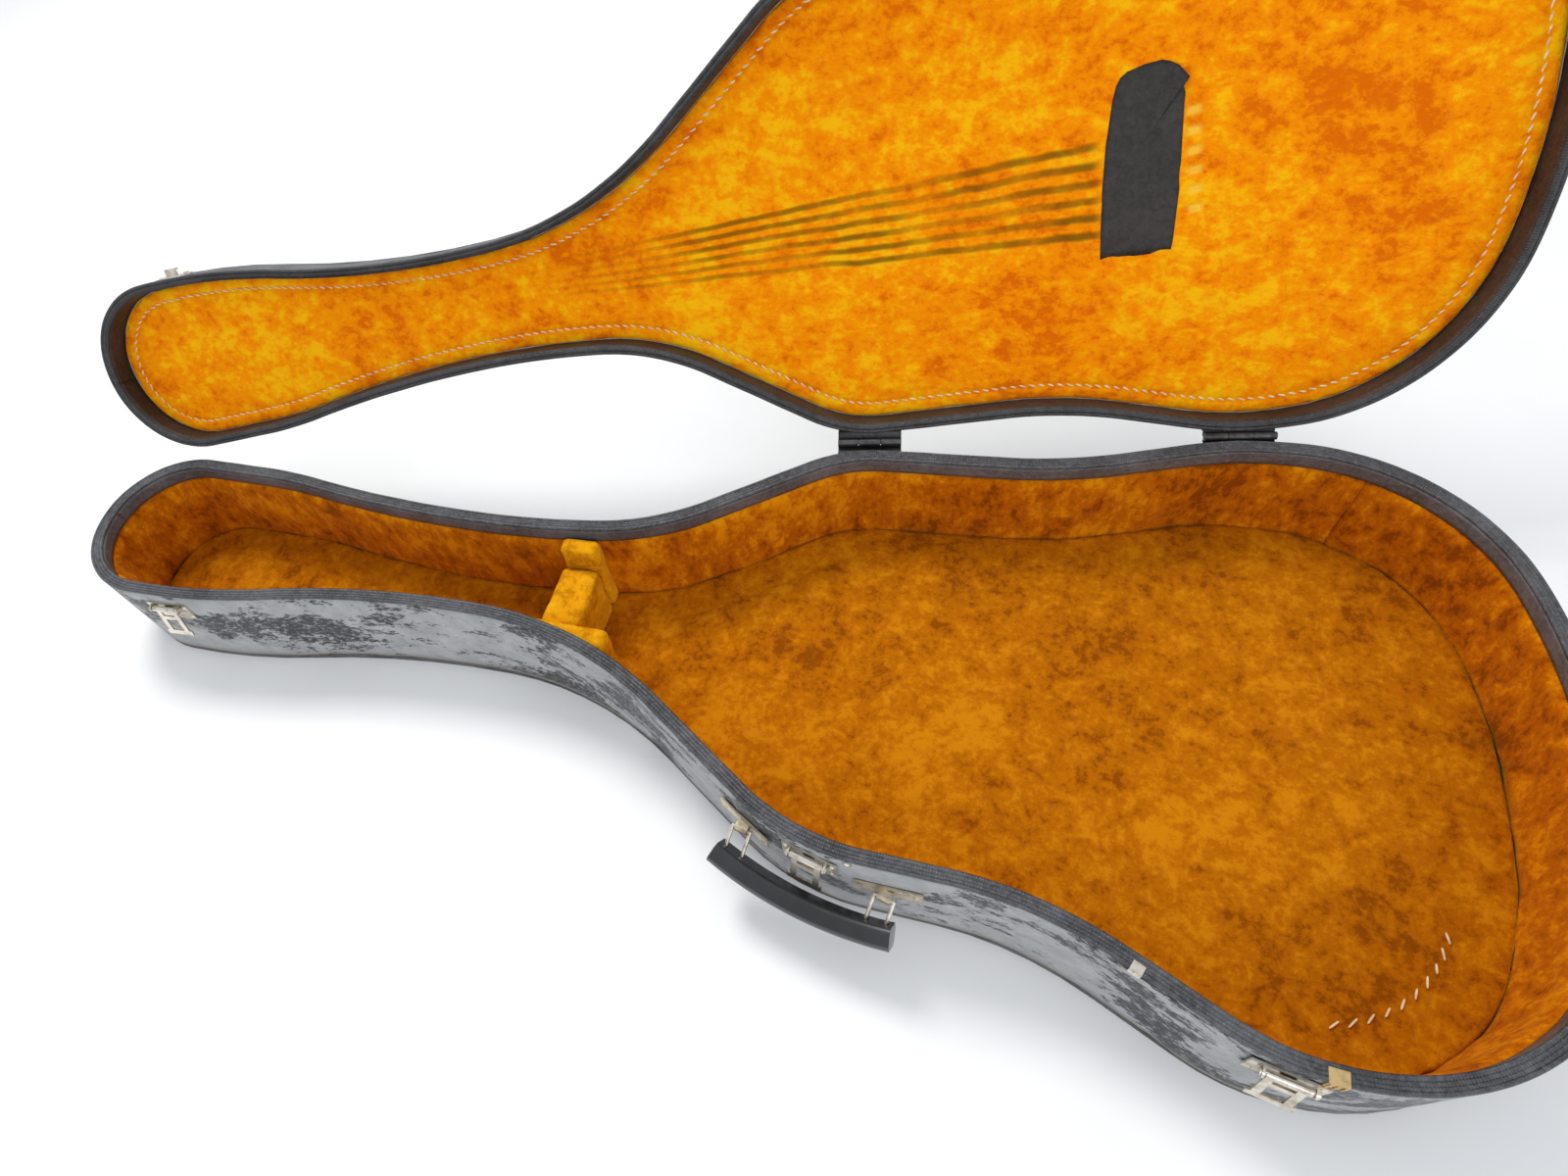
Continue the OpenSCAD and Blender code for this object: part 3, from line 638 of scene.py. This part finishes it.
def plan_panel(name, d, z_back, thick, up, mat, body, node, stitch_in, cols, rows, seed):
    """Padded panel with a rolled edge and a sewn line stitch_in inside it."""
    grid, ring = plan_grid(d, cols, rows)
    verts, uvs, faces = [], [], []
    for (x, y), e in zip(grid, edge_distance(grid, ring)):
        edge = min(1.0, e / PANEL_ROLL)
        h = 0.25 + 0.75 * math.sqrt(max(0.0, 1 - (1 - edge) ** 2))
        h -= 0.35 * math.exp(-((e - stitch_in) / SEAM_HALF) ** 2)
        h += 0.10 * wobble(x, y, 0, 34, seed) + 0.12 * wobble(x, y, 0, 90, seed)
        h += 0.20 * max(0.0, wobble(x, y, 0, 9, seed))
        verts.append((x, y, z_back + up * thick * max(0.15, h)))
        uvs.append((x, y))
    m = rows + 1
    for a in range(cols):
        for b in range(rows):
            faces.append((a * m + b, (a + 1) * m + b, (a + 1) * m + b + 1, a * m + b + 1))
    border = ([b for b in range(m)] + [a * m + rows for a in range(1, cols + 1)]
              + [cols * m + b for b in range(rows - 1, -1, -1)]
              + [a * m for a in range(cols - 1, 0, -1)])
    first = len(verts)
    for i in border:
        verts.append((verts[i][0], verts[i][1], z_back))
        uvs.append(uvs[i])
    for k in range(len(border)):
        k2 = (k + 1) % len(border)
        faces.append((border[k], border[k2], first + k2, first + k))
    faces.append(tuple(range(first, first + len(border))))
    if up < 0:
        faces = [f[::-1] for f in faces]
    piece = add_piece(name, verts, faces, mat, body, uvs, [node])


LINER_STITCH_IN = 0.010
plan_panel("lid_liner_plush", LINER_IN, LID_UNDER - SKIN_GAP, LINER_THICK, -1, lid_gold, "lid",
           "lid_liner", LINER_STITCH_IN, 330, 130, 5.0)
plan_panel("floor_pad_plush", LINING_IN, BOARD + SKIN_GAP, FLOOR_THICK, 1, floor_plush_painted_shade, "base",
           "floor_pad", 0.030, 220, 80, 6.0)


# ---- stitching ----
STITCH_SIDES = 6
STITCH_RINGS = ((-0.5, 0.25), (-0.38, 0.8), (0, 1.0), (0.38, 0.8), (0.5, 0.25))


def stitch_row(name, path, pitch, length, radius, lean, mat, body):
    """Short slanted stitches along a path of (x, y, z) points."""
    pts = np.array(path)
    s = np.concatenate([[0], np.cumsum(np.linalg.norm(np.diff(pts, axis=0), axis=1))])
    up = np.array([0, 0, 1])
    verts, faces = [], []
    count = int(s[-1] / pitch)
    for k in range(count):
        at = (k + 0.5) * s[-1] / count
        c = np.array([np.interp(at, s, pts[:, j]) for j in range(3)])
        q = np.array([np.interp(at + 0.001, s, pts[:, j]) for j in range(3)])
        d = (q - c) / max(1e-9, np.linalg.norm(q - c))
        side = np.array([-d[1], d[0], 0])
        a = d * math.cos(lean) + side * math.sin(lean)
        b = np.cross(a, up)
        grow = 1 + 0.18 * noise.noise(Vector((k * 0.7, 0.3, 0)))
        first = len(verts)
        n = STITCH_SIDES
        for t, r in STITCH_RINGS:
            for j in range(n):
                w = 2 * math.pi * j / n
                verts.append(tuple(c + a * t * length * grow
                                   + radius * r * (b * math.cos(w) + up * math.sin(w))))
        for i in range(len(STITCH_RINGS) - 1):
            for j in range(n):
                j2 = (j + 1) % n
                faces.append((first + i * n + j, first + i * n + j2,
                              first + (i + 1) * n + j2, first + (i + 1) * n + j))
        faces.append(tuple(first + j for j in reversed(range(n))))
        faces.append(tuple(first + (len(STITCH_RINGS) - 1) * n + j for j in range(n)))
    add_piece(name, verts, faces, mat, body)


def inset_path(d, z, ids):
    return [(*(LOOP[i] - NORMAL[i] * d), z) for i in ids]


stitch_row("lid_liner_stitches",
           inset_path(LINER_IN + LINER_STITCH_IN, LID_UNDER - 0.0025, stations() + [0]),
           0.007, 0.0054, 0.0008, 0.35, thread, "lid")
# the floor's stitches show in the near tail corner only
tail_row = [i for i in near_ids if LOOP[i][0] > 0.440 and LOOP[i][1] < -0.10]
stitch_row("floor_stitches", inset_path(0.046, FLOOR + 0.0004, tail_row), 0.011, 0.0075, 0.0008,
           0.5, thread, "base")


# ---- neck rest ----
PILLOW_ROLL = 0.006
PILLOW_PUFF = 0.0012
PILLOW_CLEAR = 0.001                # gap between the padding and the wall lining


def pillow(name, node, seed):
    """Rounded block of padding in its CAD solid's box, kept inside the wall lining."""
    lo, hi = (Vector(v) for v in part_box(node))
    bm = bmesh.new()
    bmesh.ops.create_cube(bm, size=1.0)
    bmesh.ops.subdivide_edges(bm, edges=bm.edges[:], cuts=14, use_grid_fill=True)
    size = hi - lo
    mid = (hi + lo) / 2
    verts = []
    for v in bm.verts:
        p = Vector((v.co.x * size.x, v.co.y * size.y, v.co.z * size.z))
        core = Vector([max(-(size[k] / 2 - PILLOW_ROLL), min(size[k] / 2 - PILLOW_ROLL, p[k]))
                       for k in range(3)])
        out = p - core
        if out.length > 1e-6:
            p = core + out.normalized() * min(PILLOW_ROLL, out.length)
        q = p + mid
        p += p.normalized() * PILLOW_PUFF * (wobble(q.x, q.y, q.z, 60, seed) - 1)
        q = p + mid
        y_far = float(np.interp(q.x, far_pts[:, 0], far_pts[:, 1])) - LINING_IN - PILLOW_CLEAR
        y_near = float(np.interp(q.x, near_pts[:, 0], near_pts[:, 1])) + LINING_IN + PILLOW_CLEAR
        verts.append((q.x, min(y_far, max(y_near, q.y)), q.z))
    faces = [tuple(v.index for v in f.verts) for f in bm.faces]
    bm.free()
    piece = add_piece(name, verts, faces, rest_gold, "base", node=[node])


for k, part in enumerate(("far", "near", "saddle")):
    pillow(f"neck_rest_{part}_pad", f"neck_rest_{part}", 7.0 + k)


# ---- patch in the lid ----
PATCH = [(276, 77), (276.8, 65), (280, 30), (284, 0), (289, -24), (292, -34), (295, -38.5),
         (299, -41), (310, -43), (321, -43), (326, -41), (331, -37.5), (337, -29), (333, -25),
         (334.5, -20), (333, 0), (330, 40), (325, 75), (324, 81), (300, 79)]
PATCH_THICK = 0.0012
PATCH_RINGS = 14
PATCH_STEP = 0.003                  # spacing of the points round its edge
CURL_AT = (0.336, -0.029)           # the torn corner that lifts
CURL_REACH = 0.016


def curl(x, y, lift):
    return lift * max(0.0, 1 - math.dist((x, y), CURL_AT) / CURL_REACH)


def make_patch():
    """Sheet of black vinyl with an uneven face and one lifted corner."""
    edge = [(x / 1000, y / 1000) for x, y in PATCH]
    cx = sum(p[0] for p in edge) / len(edge)
    cy = sum(p[1] for p in edge) / len(edge)
    top = LID_UNDER - LINER_THICK
    verts, faces = [], []
    dense = []
    for a, b in zip(edge, edge[1:] + edge[:1]):
        n = max(1, round(math.dist(a, b) / PATCH_STEP))
        dense += [(a[0] + (b[0] - a[0]) * j / n, a[1] + (b[1] - a[1]) * j / n)
                  for j in range(n)]
    m = len(dense)
    for r in range(PATCH_RINGS + 1):
        f = 1 - r / PATCH_RINGS
        for x, y in dense:
            px, py = cx + (x - cx) * f, cy + (y - cy) * f
            lift = PATCH_THICK * (1 if r else 0.4) + 0.0004 * wobble(px, py, 0, 45, 3.0)
            verts.append((px, py, top - lift - curl(px, py, 0.003)))
    for r in range(PATCH_RINGS):
        for k in range(m):
            k2 = (k + 1) % m
            faces.append((r * m + k, (r + 1) * m + k, (r + 1) * m + k2, r * m + k2))
    first = len(verts)
    for x, y in dense:
        verts.append((x, y, top + 0.0002 - curl(x, y, 0.002)))
    for k in range(m):
        k2 = (k + 1) % m
        faces.append((first + k, k, k2, first + k2))
    add_piece("bridge_patch_vinyl", verts, faces, patch_mat, "lid", node=["bridge_patch"])


make_patch()

# ---- floor, light and camera ----
STAGE = 6.0                         # half of the floor's side
STAGE_DROP = 0.0005                 # keeps the floor off the underside of the case


def make_floor():
    mat = plain("stage_floor", (0.88, 0.88, 0.88), (0.90, 0.90, 0.90), 6, 0.8, 0.02)
    mesh = bpy.data.meshes.new("stage_floor")
    corners = [(-STAGE, -STAGE, 0), (STAGE, -STAGE, 0), (STAGE, STAGE, 0), (-STAGE, STAGE, 0)]
    mesh.from_pydata(corners, [], [(0, 1, 2, 3)])
    mesh.materials.append(mat)
    ground = bpy.data.objects.new("stage_floor", mesh)
    bpy.context.scene.collection.objects.link(ground)
    ground.location.z = -STAGE_DROP


def area_light(name, where, at, size, power, colour):
    data = bpy.data.lights.new(name, "AREA")
    data.shape = "DISK"
    data.size = size
    data.energy = power
    data.color = colour
    lamp = bpy.data.objects.new(name, data)
    lamp.location = where
    lamp.rotation_euler = (Vector(at) - Vector(where)).to_track_quat("-Z", "Y").to_euler()
    bpy.context.scene.collection.objects.link(lamp)


def make_world():
    world = bpy.data.worlds.new("studio")
    world.use_nodes = True
    world.node_tree.nodes["Background"].inputs["Color"].default_value = (0.93, 0.96, 1.0, 1)
    world.node_tree.nodes["Background"].inputs["Strength"].default_value = 0.80
    bpy.context.scene.world = world


SENSOR = 36.0                       # millimetres, like the lens
LENS = 21.3255
CAMERA_AT = Vector((0.1835, -0.3323, 0.6684))
CAMERA_RIGHT = Vector((0.9522, 0.2701, -0.1424))
CAMERA_FORWARD = Vector((-0.2657, 0.5029, -0.8225))


def make_camera():
    data = bpy.data.cameras.new("view")
    data.sensor_width = SENSOR
    data.lens = LENS
    data.shift_x = 0.05
    data.clip_end = 50
    camera = bpy.data.objects.new("view", data)
    right = CAMERA_RIGHT.normalized()
    forward = CAMERA_FORWARD.normalized()
    up = right.cross(forward).normalized()
    pose = Matrix((right, up, -forward)).transposed().to_4x4()
    pose.translation = CAMERA_AT
    camera.matrix_world = pose
    bpy.context.scene.collection.objects.link(camera)
    bpy.context.scene.camera = camera


make_floor()
area_light("key", (-0.9, 0.9, 2.0), (0.1, 0, 0.1), 0.8, 30, (1.0, 0.98, 0.95))
area_light("fill", (1.3, -1.9, 1.7), (0, 0.2, 0.2), 1.4, 16, (0.95, 0.97, 1.0))
make_world()
make_camera()
bpy.context.scene.view_settings.view_transform = "Standard"
